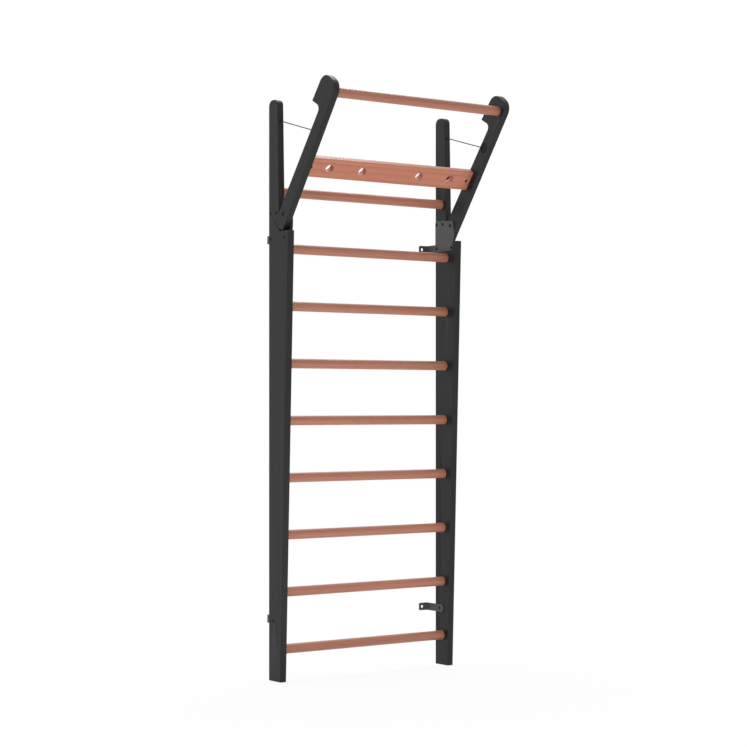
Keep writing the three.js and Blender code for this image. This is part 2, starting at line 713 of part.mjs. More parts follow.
// Cross board axes: along the arms' rear edges, and square to them towards the front
const crossHeight = PIVOT.y + CROSS_BOARD_ABOVE_PIVOT;
const crossRear = fromPivot(armRear(crossHeight), crossHeight);
const crossForward = new THREE.Vector2(armRearUp.y, -armRearUp.x);

function crossPoint(forward, up) {
  const point = crossRear.clone().addScaledVector(crossForward, forward);
  return point.addScaledVector(armRearUp, up);
}

const crossMiddle = crossPoint(CROSS_BOARD_INSET + CROSS_BOARD_THICKNESS / 2, 0);
const crossFront = CROSS_BOARD_INSET + CROSS_BOARD_THICKNESS;
const crossEnd = ARM_INNER - FIT_GAP;
const crossNutX = crossEnd - CROSS_NUT_FROM_END;

// A round hole or rod square to the cross board, between two places from its front face
function rodThroughCross(x, radius, from, to, sides) {
  const start = crossPoint(crossFront - from, 0);
  const end = crossPoint(crossFront - to, 0);
  return rodInSide(start, end, radius, x, sides);
}

// Arm with its lap, the bar's socket, the seats of the bush and its nut and the anchor's pocket
function armSolid() {
  const cutStart = ARM_INNER - CUT_MARGIN;
  let solid = sideSolid(armOutline(), ARM_INNER, OUTER, EDGE_CHAMFER);
  solid = solid.subtract(lapCutSolid());
  solid = solid.subtract(socket(barPlace, BAR_DIAMETER, ARM_INNER));
  const axis = new THREE.Vector2();
  const bore = bushRadius + FIT_GAP;
  solid = solid.subtract(rodX(axis, bore, cutStart, bushEnd + FIT_GAP, HOLE_SIDES));
  const nutSeat = PIVOT_NUT_DIAMETER / 2 + PIVOT_NUT_PLAY;
  solid = solid.subtract(rodX(axis, nutSeat, bushEnd, OUTER + CUT_MARGIN, HOLE_SIDES));
  const flangeSeat = BUSH_FLANGE_DIAMETER / 2 + FIT_GAP;
  const flangeFloor = bushStart + BUSH_FLANGE_THICKNESS + FIT_GAP;
  solid = solid.subtract(rodX(axis, flangeSeat, cutStart, flangeFloor, HOLE_SIDES));
  const studRadius = ARM_STUD_DIAMETER / 2 + FIT_GAP;
  const studEnd = ARM_INNER + ARM_STUD_IN_ARM + FIT_GAP;
  solid = solid.subtract(rodX(crossMiddle, studRadius, cutStart, studEnd, SCREW_SIDES));
  const pocketEnd = OUTER - POCKET_FLOOR;
  solid = solid.subtract(rodX(pocketPlace, POCKET_DIAMETER / 2, cutStart, pocketEnd, RUNG_SIDES));
  const boreStart = folded(alongCable(pocketOut, -2 * POCKET_DIAMETER));
  return solid.subtract(rodInSide(boreStart, pocketPlace, CABLE_BORE_RADIUS, cableX, CABLE_SIDES));
}

// Cross board with its strap holes and the seats of its end fittings
function crossBoardSolid() {
  const half = CROSS_BOARD_HEIGHT / 2;
  const places = [
    [CROSS_BOARD_INSET, -half],
    [crossFront, -half],
    [crossFront, half],
    [CROSS_BOARD_INSET, half],
  ];
  const shape = outline(
    places.map(([forward, up]) => ({
      at: crossPoint(forward, up),
      radius: CROSS_BOARD_EDGE_RADIUS,
    })),
  );
  let solid = sideSolid(shape, -crossEnd, crossEnd);
  const through = CROSS_BOARD_THICKNESS + CUT_MARGIN;
  for (const side of [-1, 1]) {
    for (const step of [0, 1]) {
      const x = side * (crossEnd - STRAP_HOLE_FROM_END - step * STRAP_HOLE_SPACING);
      const radius = STRAP_HOLE_DIAMETER / 2;
      solid = solid.subtract(rodThroughCross(x, radius, -CUT_MARGIN, through, RUNG_SIDES));
    }
    const nutRadius = CROSS_NUT_DIAMETER / 2 + FIT_GAP;
    const nutFloor = CROSS_NUT_LENGTH + 2 * FIT_GAP;
    const nutSeat = rodThroughCross(side * crossNutX, nutRadius, -CUT_MARGIN, nutFloor, HOLE_SIDES);
    solid = solid.subtract(nutSeat);
    const studRadius = ARM_STUD_DIAMETER / 2 + FIT_GAP;
    const inside = side * (crossNutX - CROSS_NUT_DIAMETER);
    const outside = side * (crossEnd + CUT_MARGIN);
    const low = Math.min(inside, outside);
    const high = Math.max(inside, outside);
    solid = solid.subtract(rodX(crossMiddle, studRadius, low, high, SCREW_SIDES));
  }
  return solid;
}

// Cross nut: a round barrel in the board with a tapped hole for the stud
function crossNutSolid() {
  const radius = CROSS_NUT_DIAMETER / 2;
  const barrel = rodThroughCross(crossNutX, radius, FIT_GAP, CROSS_NUT_LENGTH, HOLE_SIDES);
  const tapped = ARM_STUD_DIAMETER / 2 + FIT_GAP;
  const low = crossNutX - CROSS_NUT_DIAMETER;
  const high = crossNutX + CROSS_NUT_DIAMETER;
  return barrel.subtract(rodX(crossMiddle, tapped, low, high, SCREW_SIDES));
}

// Stud: screwed into the arm's inner face and drawn into the cross nut
function armStudSolid() {
  const start = crossNutX - CROSS_NUT_DIAMETER / 2;
  return rodX(crossMiddle, ARM_STUD_DIAMETER / 2, start, ARM_INNER + ARM_STUD_IN_ARM, SCREW_SIDES);
}

// Fixed ladder: uprights, rungs, hinge plates, wall brackets and cables
const ladder = new THREE.Group();
ladder.position.y = -WALL_GAP;

// Pull-up frame: arms, bar and cross board, swung out about the pivots
const pullUpFrame = new THREE.Group();
pullUpFrame.position.set(0, -WALL_GAP - PIVOT.x, PIVOT.y);
pullUpFrame.rotation.x = SWING_ANGLE;

for (const number of rungNumbers) {
  addPiece(ladder, `rung_${number}`, socketedBar(rungPlace(number), RUNG_DIAMETER), cherryWood);
}
addPiece(pullUpFrame, "pull_up_bar", socketedBar(barPlace, BAR_DIAMETER), cherryWood);
addPiece(pullUpFrame, "cross_board", crossBoardSolid(), cherryWood);

for (const [side, mirror] of [["left", -1], ["right", 1]]) {
  const fixed = new THREE.Group();
  fixed.scale.x = mirror;
  ladder.add(fixed);
  addPiece(fixed, `${side}_upright`, uprightSolid(), blackWood);
  addPiece(fixed, `${side}_hinge_plate`, hingePlateSolid(), greySteel);
  addPiece(fixed, `${side}_pivot_bolt`, pivotBoltSolid(), blackSteel);
  addPiece(fixed, `${side}_pivot_nut`, pivotNutSolid(), blackSteel);
  plateScrews.forEach((at, i) => {
    addPiece(fixed, `${side}_plate_screw_${i + 1}`, screwSolid(at), blackSteel);
    addPiece(fixed, `${side}_plate_nut_${i + 1}`, sleeveNutSolid(at), blackSteel);
  });
  addPiece(fixed, `${side}_wall_bracket`, wallBracketSolid(), greySteel);
  addPiece(fixed, `${side}_bracket_screw`, screwSolid(bracketScrew), blackSteel);
  addPiece(fixed, `${side}_bracket_nut`, sleeveNutSolid(bracketScrew), blackSteel);
  addPiece(fixed, `${side}_stay_cable`, cableSolid(), brightSteel);
  addPiece(fixed, `${side}_post_cable_stop`, postStopSolid(), brightSteel);

  const moving = new THREE.Group();
  moving.scale.x = mirror;
  pullUpFrame.add(moving);
  addPiece(moving, `${side}_arm`, armSolid(), blackWood);
  addPiece(moving, `${side}_pivot_bush`, pivotBushSolid(), bronze);
  addPiece(moving, `${side}_arm_cable_stop`, armAnchorSolid(), blackSteel);
  addPiece(moving, `${side}_cross_nut`, crossNutSolid(), blackSteel);
  addPiece(moving, `${side}_arm_stud`, armStudSolid(), brightSteel);
}

const wallBars = new THREE.Group();
wallBars.name = "wall_bars";
wallBars.add(ladder, pullUpFrame);

export default wallBars;
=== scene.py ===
"""Swedish wall bars with a fold-out pull-up frame: fine shapes, finishes, light and camera.

Everything is in metres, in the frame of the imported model: +Z is up, the wall lies at Y = 0 and the room
at -Y. A piece that stands for a node of the model keeps its place and size.
"""

import json
import logging
import math
from dataclasses import dataclass, replace
from enum import Enum, StrEnum
from functools import cache
from typing import Any, Iterable, Mapping, Sequence

import bmesh
import bpy
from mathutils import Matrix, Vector
from mathutils.bvhtree import BVHTree


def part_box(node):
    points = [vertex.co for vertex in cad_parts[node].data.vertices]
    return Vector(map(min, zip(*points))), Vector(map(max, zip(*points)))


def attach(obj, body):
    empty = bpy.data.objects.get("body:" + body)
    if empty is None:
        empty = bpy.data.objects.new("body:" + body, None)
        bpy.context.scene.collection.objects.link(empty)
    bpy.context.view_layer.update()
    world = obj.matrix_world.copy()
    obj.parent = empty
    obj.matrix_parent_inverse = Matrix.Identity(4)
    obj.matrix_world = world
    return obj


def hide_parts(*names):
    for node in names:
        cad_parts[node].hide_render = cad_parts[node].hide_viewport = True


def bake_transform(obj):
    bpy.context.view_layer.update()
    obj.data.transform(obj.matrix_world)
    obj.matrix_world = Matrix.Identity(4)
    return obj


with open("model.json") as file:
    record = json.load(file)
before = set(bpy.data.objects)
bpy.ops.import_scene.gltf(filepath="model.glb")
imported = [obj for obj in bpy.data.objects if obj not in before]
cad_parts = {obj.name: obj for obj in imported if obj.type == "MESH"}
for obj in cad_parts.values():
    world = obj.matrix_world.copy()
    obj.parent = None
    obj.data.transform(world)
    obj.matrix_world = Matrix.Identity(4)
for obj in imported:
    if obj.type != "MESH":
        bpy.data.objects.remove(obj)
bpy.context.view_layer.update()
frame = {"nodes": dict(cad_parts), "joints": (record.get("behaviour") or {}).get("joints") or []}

log = logging.getLogger("wall_bars")

Rgb = tuple[float, float, float]
Xyz = tuple[float, float, float]
Piece = bpy.types.Object
Socket = bpy.types.NodeSocket
Surface = tuple[Socket, Socket, Socket]

MERGE_DISTANCE = 2e-6
PLACE_DIGITS = 6
FLAT_ANGLE = math.radians(0.3)
SMOOTH_ANGLE = math.radians(32)
FOLD_ANGLE = math.radians(frame["joints"][0]["range_deg"][1])
WHITE = (1.0, 1.0, 1.0, 1.0)

FLOAT = "NodeSocketFloat"
INTEGER = "NodeSocketInt"
COLOUR = "NodeSocketColor"
VECTOR = "NodeSocketVector"

# Wood whose fibres run along X: the way from its heart to the origin, the share of each axis in the rings,
# streaks and pores per metre along and across the fibres, a pore's depth beside the height of the rings, the
# share of late wood where a ring begins, and the mean of a noise.
PITH = (0.31, 0.085, 0.06)
RING_STRETCH = (0.07, 1.0, 1.0)
STREAK_CELLS = (1.6, 95.0, 95.0)
PORE_CELLS = (45.0, 1300.0, 1300.0)
PORE_DEPTH = 0.8
LATE_SHARE = 0.2
NOISE_MEAN = 0.5

# Where a mask begins and where it is full, as values of a noise or as the cosine at a softened edge.
PORE_MASK = (0.56, 0.7)
TARNISH_MASK = (0.4, 0.7)
RUB_MASK = (0.35, 0.65)
EDGE_MASK = (0.995, 0.85)

# What pores and clouds add to the roughness, and how much of the colour clouds leave and add.
PORE_ROUGHNESS = 0.12
CLOUD_ROUGHNESS = 0.15
CLOUD_FLOOR = 0.85
CLOUD_DEPTH = 0.3


class Body(Enum):
    """The rigid bodies of the model."""

    LADDER = "ladder"
    PULL_UP_FRAME = "pull_up_frame"


class Slot(Enum):
    """The record's material slots."""

    BLACK_WOOD = "black_wood"
    CHERRY_WOOD = "cherry_wood"
    GREY_STEEL = "grey_steel"
    BLACK_STEEL = "black_steel"
    BRIGHT_STEEL = "bright_steel"
    BRONZE = "bronze"


class Side(StrEnum):
    """The two sides of the ladder, seen from the room."""

    LEFT = "left"
    RIGHT = "right"


class Facing(Enum):
    """Which way a fastener's head looks."""

    INWARD = -1.0
    OUTWARD = 1.0


class Grain(Enum):
    """Which way the wood's fibres run in a piece, as the turn that lays them along X."""

    ALONG_RUNG = (0.0, 0.0, 0.0)
    ALONG_UPRIGHT = (0.0, math.pi / 2, 0.0)
    ALONG_ARM = (-FOLD_ANGLE, math.pi / 2, 0.0)


class Nodes:
    """A node tree under construction, with short ways to add nodes and to feed them."""

    def __init__(self, tree: bpy.types.NodeTree) -> None:
        """Starts from an empty tree."""
        self.tree = tree
        tree.nodes.clear()

    def add(self, kind: str, inputs: Mapping[Any, Any] | None = None, **settings: Any) -> bpy.types.Node:
        """Adds a node.

        Args:
            kind: Blender's name of the node type.
            inputs: what feeds each input, by the input's name or number.
            settings: properties of the node.

        Returns:
            The new node.
        """
        node = self.tree.nodes.new(kind)
        for name, value in settings.items():
            setattr(node, name, value)
        for key, value in (inputs or {}).items():
            self.feed(node.inputs[key], value)
        return node

    def feed(self, socket: Socket, value: Any) -> None:
        """Feeds an input.

        Args:
            socket: the input.
            value: an output socket, a node for its first output, or a plain value.
        """
        if isinstance(value, bpy.types.Node):
            value = value.outputs[0]
        if isinstance(value, Socket):
            self.tree.links.new(value, socket)
        else:
            socket.default_value = value

    def group(self, tree: bpy.types.NodeTree, inputs: Mapping[str, Any]) -> Mapping[str, Socket]:
        """Places a shader node group with values of its own and returns its outputs."""
        return self.add("ShaderNodeGroup", inputs, node_tree=tree).outputs

    def math(self, operation: str, *values: Any, clamp: bool = False) -> Socket:
        """Adds a Math node and returns its result, which a clamp holds between 0 and 1."""
        node = self.add("ShaderNodeMath", dict(enumerate(values)), operation=operation, use_clamp=clamp)
        return node.outputs[0]

    def vector(self, operation: str, *values: Any, result: str = "Vector") -> Socket:
        """Adds a Vector Math node and returns its vector or its value."""
        node = self.add("ShaderNodeVectorMath", dict(enumerate(values)), operation=operation)
        return node.outputs[result]

    def scaled(self, vector: Any, factor: Any) -> Socket:
        """Adds a Vector Math node that multiplies a vector by a number, and returns its result."""
        return self.add("ShaderNodeVectorMath", {0: vector, "Scale": factor}, operation="SCALE").outputs[0]

    def span(self, value: Any, low: float, high: float) -> Socket:
        """Adds a smooth step that is 0 at the low value and 1 at the high one."""
        limits = {"Value": value, "From Min": low, "From Max": high}
        return self.add("ShaderNodeMapRange", limits, interpolation_type="SMOOTHSTEP").outputs["Result"]

    def mix_colour(self, factor: Any, first: Any, second: Any) -> Socket:
        """Adds a Mix node for colours.

        Args:
            factor: 0 for the first colour, 1 for the second.
            first: a colour or a socket.
            second: a colour or a socket.

        Returns:
            The mixed colour's socket.
        """
        node = self.add("ShaderNodeMix", data_type="RGBA")
        colours = [socket for socket in node.inputs if socket.type == "RGBA"]
        self.feed(node.inputs[0], factor)
        self.feed(colours[0], first)
        self.feed(colours[1], second)
        return next(socket for socket in node.outputs if socket.type == "RGBA")


class Group(Nodes):
    """A node group with named inputs and outputs."""

    def __init__(self, name: str, kind: str, inputs: Sequence[tuple], outputs: Sequence[tuple]) -> None:
        """Makes the group and its sockets.

        Args:
            name: the group's name.
            kind: Blender's name of the tree type.
            inputs: name, socket type and, where it has one, the value to start from.
            outputs: name and socket type.
        """
        super().__init__(bpy.data.node_groups.new(name, kind))
        for label, socket_type, *start in inputs:
            socket = self.tree.interface.new_socket(label, in_out="INPUT", socket_type=socket_type)
            if start:
                socket.default_value = start[0]
        for label, socket_type in outputs:
            self.tree.interface.new_socket(label, in_out="OUTPUT", socket_type=socket_type)
        self.inlet = self.add("NodeGroupInput").outputs
        self.outlet = self.add("NodeGroupOutput").inputs

    def give(self, **results: Any) -> None:
        """Feeds the group's outputs by their names."""
        for name, result in results.items():
            self.feed(self.outlet[name], result)


@cache
def wood_grain() -> bpy.types.NodeTree:
    """Builds the grain of planed wood whose fibres run along X: rings, streaks and pores.

    Returns:
        The shader node group.
    """
    group = Group(
        "wood_grain",
        "ShaderNodeTree",
        [
            ("Place", VECTOR),
            ("Early Wood", COLOUR),
            ("Late Wood", COLOUR),
            ("Ring Scale", FLOAT, 40.0),
            ("Ring Share", FLOAT, 0.5),
            ("Streak Share", FLOAT, 0.8),
            ("Pore Share", FLOAT, 0.4),
        ],
        [("Colour", COLOUR), ("Height", FLOAT), ("Pores", FLOAT)],
    )
    inlet = group.inlet
    rings = group.add(
        "ShaderNodeTexWave",
        {
            "Vector": group.vector("MULTIPLY", group.vector("ADD", inlet["Place"], PITH), RING_STRETCH),
            "Scale": inlet["Ring Scale"],
            "Distortion": 5.0,
            "Detail": 3.0,
            "Detail Scale": 0.6,
            "Detail Roughness": 0.55,
        },
        wave_type="RINGS",
        rings_direction="X",
        wave_profile="SAW",
    )
    long_cells = group.vector("MULTIPLY", inlet["Place"], STREAK_CELLS)
    streaks = group.add("ShaderNodeTexNoise", {"Vector": long_cells, "Scale": 1.0, "Detail": 6.0})
    short_cells = group.vector("MULTIPLY", inlet["Place"], PORE_CELLS)
    dashes = group.add("ShaderNodeTexNoise", {"Vector": short_cells, "Scale": 1.0, "Detail": 2.0})
    pores = group.span(dashes.outputs["Fac"], *PORE_MASK)
    ring_part = group.math("MULTIPLY_ADD", rings.outputs["Fac"], inlet["Ring Share"], LATE_SHARE)
    streak = group.math("SUBTRACT", streaks.outputs["Fac"], NOISE_MEAN)
    share = group.math("MULTIPLY_ADD", streak, inlet["Streak Share"], ring_part, clamp=True)
    colour = group.mix_colour(share, inlet["Early Wood"], inlet["Late Wood"])
    pore_part = group.math("MULTIPLY", pores, inlet["Pore Share"])
    colour = group.mix_colour(pore_part, colour, inlet["Late Wood"])
    group.give(Colour=colour, Height=group.math("MULTIPLY_ADD", pores, -PORE_DEPTH, share), Pores=pores)
    return group.tree


@cache
def fine_grit() -> bpy.types.NodeTree:
    """Builds a fine grit with broad, faint clouds, as on coated and plated steel.

    Returns:
        The shader node group.
    """
    group = Group(
        "fine_grit",
        "ShaderNodeTree",
        [("Place", VECTOR), ("Grit Scale", FLOAT, 1500.0), ("Clouds Scale", FLOAT, 25.0)],
        [("Grit", FLOAT), ("Clouds", FLOAT)],
    )
    for name, detail in (("Grit", 3.0), ("Clouds", 5.0)):
        cells = {"Vector": group.inlet["Place"], "Scale": group.inlet[f"{name} Scale"]}
        noise = group.add("ShaderNodeTexNoise", {**cells, "Detail": detail, "Roughness": 0.6})
        group.feed(group.outlet[name], noise.outputs["Fac"])
    return group.tree


@cache
def edge_rub() -> bpy.types.NodeTree:
    """Builds a mask of the edges that hands and cloths rub, broken up by a fine noise.

    Returns:
        The shader node group.
    """
    group = Group(
        "edge_rub",
        "ShaderNodeTree",
        [("Place", VECTOR), ("Reach", FLOAT, 0.0015)],
        [("Rub", FLOAT)],
    )
    place = group.inlet["Place"]
    soft = group.add("ShaderNodeBevel", {"Radius": group.inlet["Reach"]}, samples=4)
    hard = group.add("ShaderNodeNewGeometry")
    facing = group.vector("DOT_PRODUCT", soft, hard.outputs["Normal"], result="Value")
    noise = group.add("ShaderNodeTexNoise", {"Vector": place, "Scale": 60.0, "Detail": 4.0})
    patches = group.span(noise.outputs["Fac"], *RUB_MASK)
    group.give(Rub=group.math("MULTIPLY", group.span(facing, *EDGE_MASK), patches))
    return group.tree


@dataclass(frozen=True, kw_only=True)
class Finish:
    """A finish that makes its material once and hands it to every piece that wears it.

    Attributes:
        name: the material's name.
        slot: the record's material slot that it belongs to; not used.
        roughness: roughness of the surface.
        relief: height of its grain or grit.
        specular: specular level.
        metallic: 1 for a bare metal.
    """

    name: str
    slot: Slot
    roughness: float
    relief: float
    specular: float = 0.5
    metallic: float = 0.0

    def material(self) -> bpy.types.Material:
        """Returns the finish's material, made at the first call."""
        return bpy.data.materials.get(self.name) or self._make()

    def _make(self) -> bpy.types.Material:
        """Makes the material.

        Returns:
            The material.
        """
        material = bpy.data.materials.new(self.name)
        material.use_nodes = True
        nodes = Nodes(material.node_tree)
        place = nodes.add("ShaderNodeTexCoord").outputs["Object"]
        colour, roughness, height = self._surface(nodes, place)
        shader = nodes.add(
            "ShaderNodeBsdfPrincipled",
            {
                "Base Color": colour,
                "Roughness": roughness,
                "Normal": nodes.add("ShaderNodeBump", {"Height": height, "Distance": self.relief}),
                "Specular IOR Level": self.specular,
                "Metallic": self.metallic,
            },
        )
        nodes.add("ShaderNodeOutputMaterial", {"Surface": shader})
        return material

    def _surface(self, nodes: Nodes, place: Socket) -> Surface:
        """Adds colour, roughness and height, which change over the piece's own coordinates."""
        raise NotImplementedError


@dataclass(frozen=True, kw_only=True)
class RubbedFinish(Finish):
    """A finish that hands and cloths have rubbed along its edges.

    Attributes:
        rubbed: colour of the edges where the finish is thin.
        rub_share: how strongly the edges are rubbed.
    """

    rubbed: Rgb
    rub_share: float

    def _rub(self, nodes: Nodes, place: Socket, colour: Socket) -> Socket:
        """Mixes the colour of the edges into that of the finish, and returns the result."""
        share = nodes.math("MULTIPLY", nodes.group(edge_rub(), {"Place": place})["Rub"], self.rub_share)
        return nodes.mix_colour(share, colour, (*self.rubbed, 1.0))


@dataclass(frozen=True, kw_only=True)
class StainedWood(RubbedFinish):
    """Planed wood, stained and lacquered.

    Attributes:
        grain: which way the fibres run.
        early: colour of the early wood.
        late: colour of the late wood.
        ring_scale: how close the rings lie.
        ring_share: how strongly the rings show.
        streak_share: how strongly the long streaks show.
        pore_share: how strongly the pores show.
    """

    grain: Grain
    early: Rgb
    late: Rgb
    ring_scale: float
    ring_share: float
    streak_share: float
    pore_share: float

    def _surface(self, nodes: Nodes, place: Socket) -> Surface:
        """Adds grain along the fibres.

        Args:
            nodes: the material's nodes.
            place: the piece's own coordinates.

        Returns:
            Colour, roughness and height.
        """
        wood = nodes.group(
            wood_grain(),
            {
                "Place": nodes.add("ShaderNodeMapping", {"Vector": place, "Rotation": self.grain.value}),
                "Early Wood": (*self.early, 1.0),
                "Late Wood": (*self.late, 1.0),
                "Ring Scale": self.ring_scale,
                "Ring Share": self.ring_share,
                "Streak Share": self.streak_share,
                "Pore Share": self.pore_share,
            },
        )
        roughness = nodes.math("MULTIPLY_ADD", wood["Pores"], PORE_ROUGHNESS, self.roughness)
        return self._rub(nodes, place, wood["Colour"]), roughness, wood["Height"]


@dataclass(frozen=True, kw_only=True)
class CoatedSteel(RubbedFinish):
    """Steel under a powder coat or a black oxide.

    Attributes:
        colour: colour of the coat.
        grit_scale: how fine the coat's grit is.
    """

    colour: Rgb
    grit_scale: float

    def _surface(self, nodes: Nodes, place: Socket) -> Surface:
        """Adds grit and clouds.

        Args:
            nodes: the material's nodes.
            place: the piece's own coordinates.

        Returns:
            Colour, roughness and height.
        """
        grit = nodes.group(fine_grit(), {"Place": place, "Grit Scale": self.grit_scale})
        shade = nodes.math("MULTIPLY_ADD", grit["Clouds"], CLOUD_DEPTH, CLOUD_FLOOR)
        roughness = nodes.math("MULTIPLY_ADD", grit["Clouds"], CLOUD_ROUGHNESS, self.roughness)
        return self._rub(nodes, place, nodes.scaled(self.colour, shade)), roughness, grit["Grit"]


@dataclass(frozen=True, kw_only=True)
class BareMetal(Finish):
    """Drawn, plated or turned metal.

    Attributes:
        colour: colour of the metal; the wire rope's is darkened with painted shade between its strands.
        tarnish: colour of its duller patches.
        grit_scale: how fine its surface is.
    """

    colour: Rgb
    tarnish: Rgb
    grit_scale: float
    metallic: float = 1.0

    def _surface(self, nodes: Nodes, place: Socket) -> Surface:
        """Adds grit and duller patches.

        Args:
            nodes: the material's nodes.
            place: the piece's own coordinates.

        Returns:
            Colour, roughness and height.
        """
        grit = nodes.group(fine_grit(), {"Place": place, "Grit Scale": self.grit_scale})
        patches = nodes.span(grit["Clouds"], *TARNISH_MASK)
        colour = nodes.mix_colour(patches, (*self.colour, 1.0), (*self.tarnish, 1.0))
        return colour, nodes.math("MULTIPLY_ADD", patches, CLOUD_ROUGHNESS, self.roughness), grit["Grit"]


BLACK_UPRIGHT = StainedWood(
    name="black_stained_upright",
    slot=Slot.BLACK_WOOD,
    grain=Grain.ALONG_UPRIGHT,
    early=(0.0135, 0.0135, 0.014),
    late=(0.0075, 0.0075, 0.008),
    rubbed=(0.03, 0.03, 0.031),
    ring_scale=46.0,
    ring_share=0.5,
    streak_share=1.6,
    pore_share=0.7,
    rub_share=0.5,
    roughness=0.42,
    specular=0.25,
    relief=0.00012,
)
BLACK_ARM = replace(BLACK_UPRIGHT, name="black_stained_arm", grain=Grain.ALONG_ARM)
CHERRY_TURNED = StainedWood(
    name="cherry_stained_bars",
    slot=Slot.CHERRY_WOOD,
    grain=Grain.ALONG_RUNG,
    early=(0.43, 0.179, 0.111),
    late=(0.312, 0.111, 0.063),
    rubbed=(0.52, 0.21, 0.13),
    ring_scale=34.0,
    ring_share=0.4,
    streak_share=1.4,
    pore_share=0.65,
    rub_share=0.25,
    roughness=0.4,
    relief=0.0001,
)
CHERRY_PLANED = replace(
    CHERRY_TURNED,
    name="cherry_stained_board",
    early=(0.53, 0.195, 0.114),
    late=(0.365, 0.114, 0.061),
    ring_scale=15.0,
    ring_share=0.45,
)
CHERRY_BORED = replace(CHERRY_PLANED, name="cherry_stained_bores", specular=0.3)
GREY_COAT = CoatedSteel(
    name="grey_powder_coat",
    slot=Slot.GREY_STEEL,
    colour=(0.057, 0.057, 0.059),
    rubbed=(0.1, 0.1, 0.102),
    rub_share=0.4,
    roughness=0.42,
    grit_scale=1100.0,
    relief=0.00005,
)
BLACK_OXIDE = CoatedSteel(
    name="black_oxide_steel",
    slot=Slot.BLACK_STEEL,
    colour=(0.008, 0.008, 0.0085),
    rubbed=(0.03, 0.03, 0.03),
    rub_share=0.4,
    roughness=0.45,
    specular=0.15,
    grit_scale=2500.0,
    relief=0.00002,
)
ZINC = BareMetal(
    name="zinc_plated_steel",
    slot=Slot.BRIGHT_STEEL,
    colour=(0.36, 0.36, 0.37),
    tarnish=(0.25, 0.25, 0.255),
    roughness=0.34,
    grit_scale=2500.0,
    relief=0.00002,
)
# Drawn wire whose colour is kept far darker than bare steel: partly the wire's own dark tone, partly painted
# shade standing in for the shade between the strands.
WIRE_WITH_PAINTED_SHADE = replace(
    ZINC,
    name="drawn_wire",
    colour=(0.075, 0.075, 0.078),
    tarnish=(0.045, 0.045, 0.047),
    roughness=0.4,
)
BRONZE = replace(
    ZINC,
    name="turned_bronze",
    slot=Slot.BRONZE,
    colour=(0.45, 0.28, 0.11),
    tarnish=(0.3, 0.17, 0.07),
    roughness=0.35,
)


def link(name: str, data: bpy.types.ID) -> Piece:
    """Puts a mesh, a lamp or a camera into the scene, at the origin.

    Args:
        name: the new object's name.
        data: what it shows.

    Returns:
        The new object.
    """
    piece = bpy.data.objects.new(name, data)
    bpy.context.scene.collection.objects.link(piece)
    return piece


def centre_of(node: str) -> Vector:
    """Returns the middle of a node's box."""
    low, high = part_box(node)
    return (low + high) / 2


def corners_of(node: str) -> list[Vector]:
    """Returns the places of a node's vertices."""
    return [vertex.co for vertex in frame["nodes"][node].data.vertices]


def axis_ends(node: str) -> tuple[Vector, Vector]:
    """Finds the ends of a rod that runs from the wall to the room.

    Args:
        node: the rod's node.

    Returns:
        The centres of its rear and its front end.
    """
    middle = centre_of(node).y
    corners = {place.to_tuple(PLACE_DIGITS) for place in corners_of(node)}
    rear = [Vector(place) for place in corners if place[1] > middle]
    front = [Vector(place) for place in corners if place[1] <= middle]
    return sum(rear, Vector()) / len(rear), sum(front, Vector()) / len(front)


def wear(piece: Piece, finish: Finish) -> None:
    """Gives a piece one finish all over."""
    piece.data.materials.clear()
    piece.data.materials.append(finish.material())


def shade_by_angle(mesh: bpy.types.Mesh) -> None:
    """Shades a mesh smooth, with sharp edges where its faces turn by more than the smooth angle."""
    mesh.shade_smooth()
    mesh.set_sharp_from_angle(angle=SMOOTH_ANGLE)


def eased_copy(node: str, name: str, finish: Finish, ease: float, segments: int = 2) -> Piece:
    """Copies a node with merged faces, eased edges and smooth round forms.

    Args:
        node: the node to copy.
        name: the new piece's name.
        finish: its finish.
        ease: how far its edges are eased.
        segments: steps across an eased edge.

    Returns:
        The new piece.
    """
    mesh = frame["nodes"][node].data.copy()
    mesh.name = name
    shape = bmesh.new()
    shape.from_mesh(mesh)
    bmesh.ops.remove_doubles(shape, verts=shape.verts, dist=MERGE_DISTANCE)
    bmesh.ops.dissolve_limit(shape, angle_limit=FLAT_ANGLE, verts=shape.verts, edges=shape.edges)
    shape.to_mesh(mesh)
    shape.free()
    shade_by_angle(mesh)
    piece = link(name, mesh)
    wear(piece, finish)
    bevel = piece.modifiers.new("eased edges", "BEVEL")
    bevel.limit_method = "ANGLE"
    bevel.angle_limit = SMOOTH_ANGLE
    bevel.width = ease
    bevel.segments = segments
    bevel.use_clamp_overlap = False
    bevel.harden_normals = True
    return piece


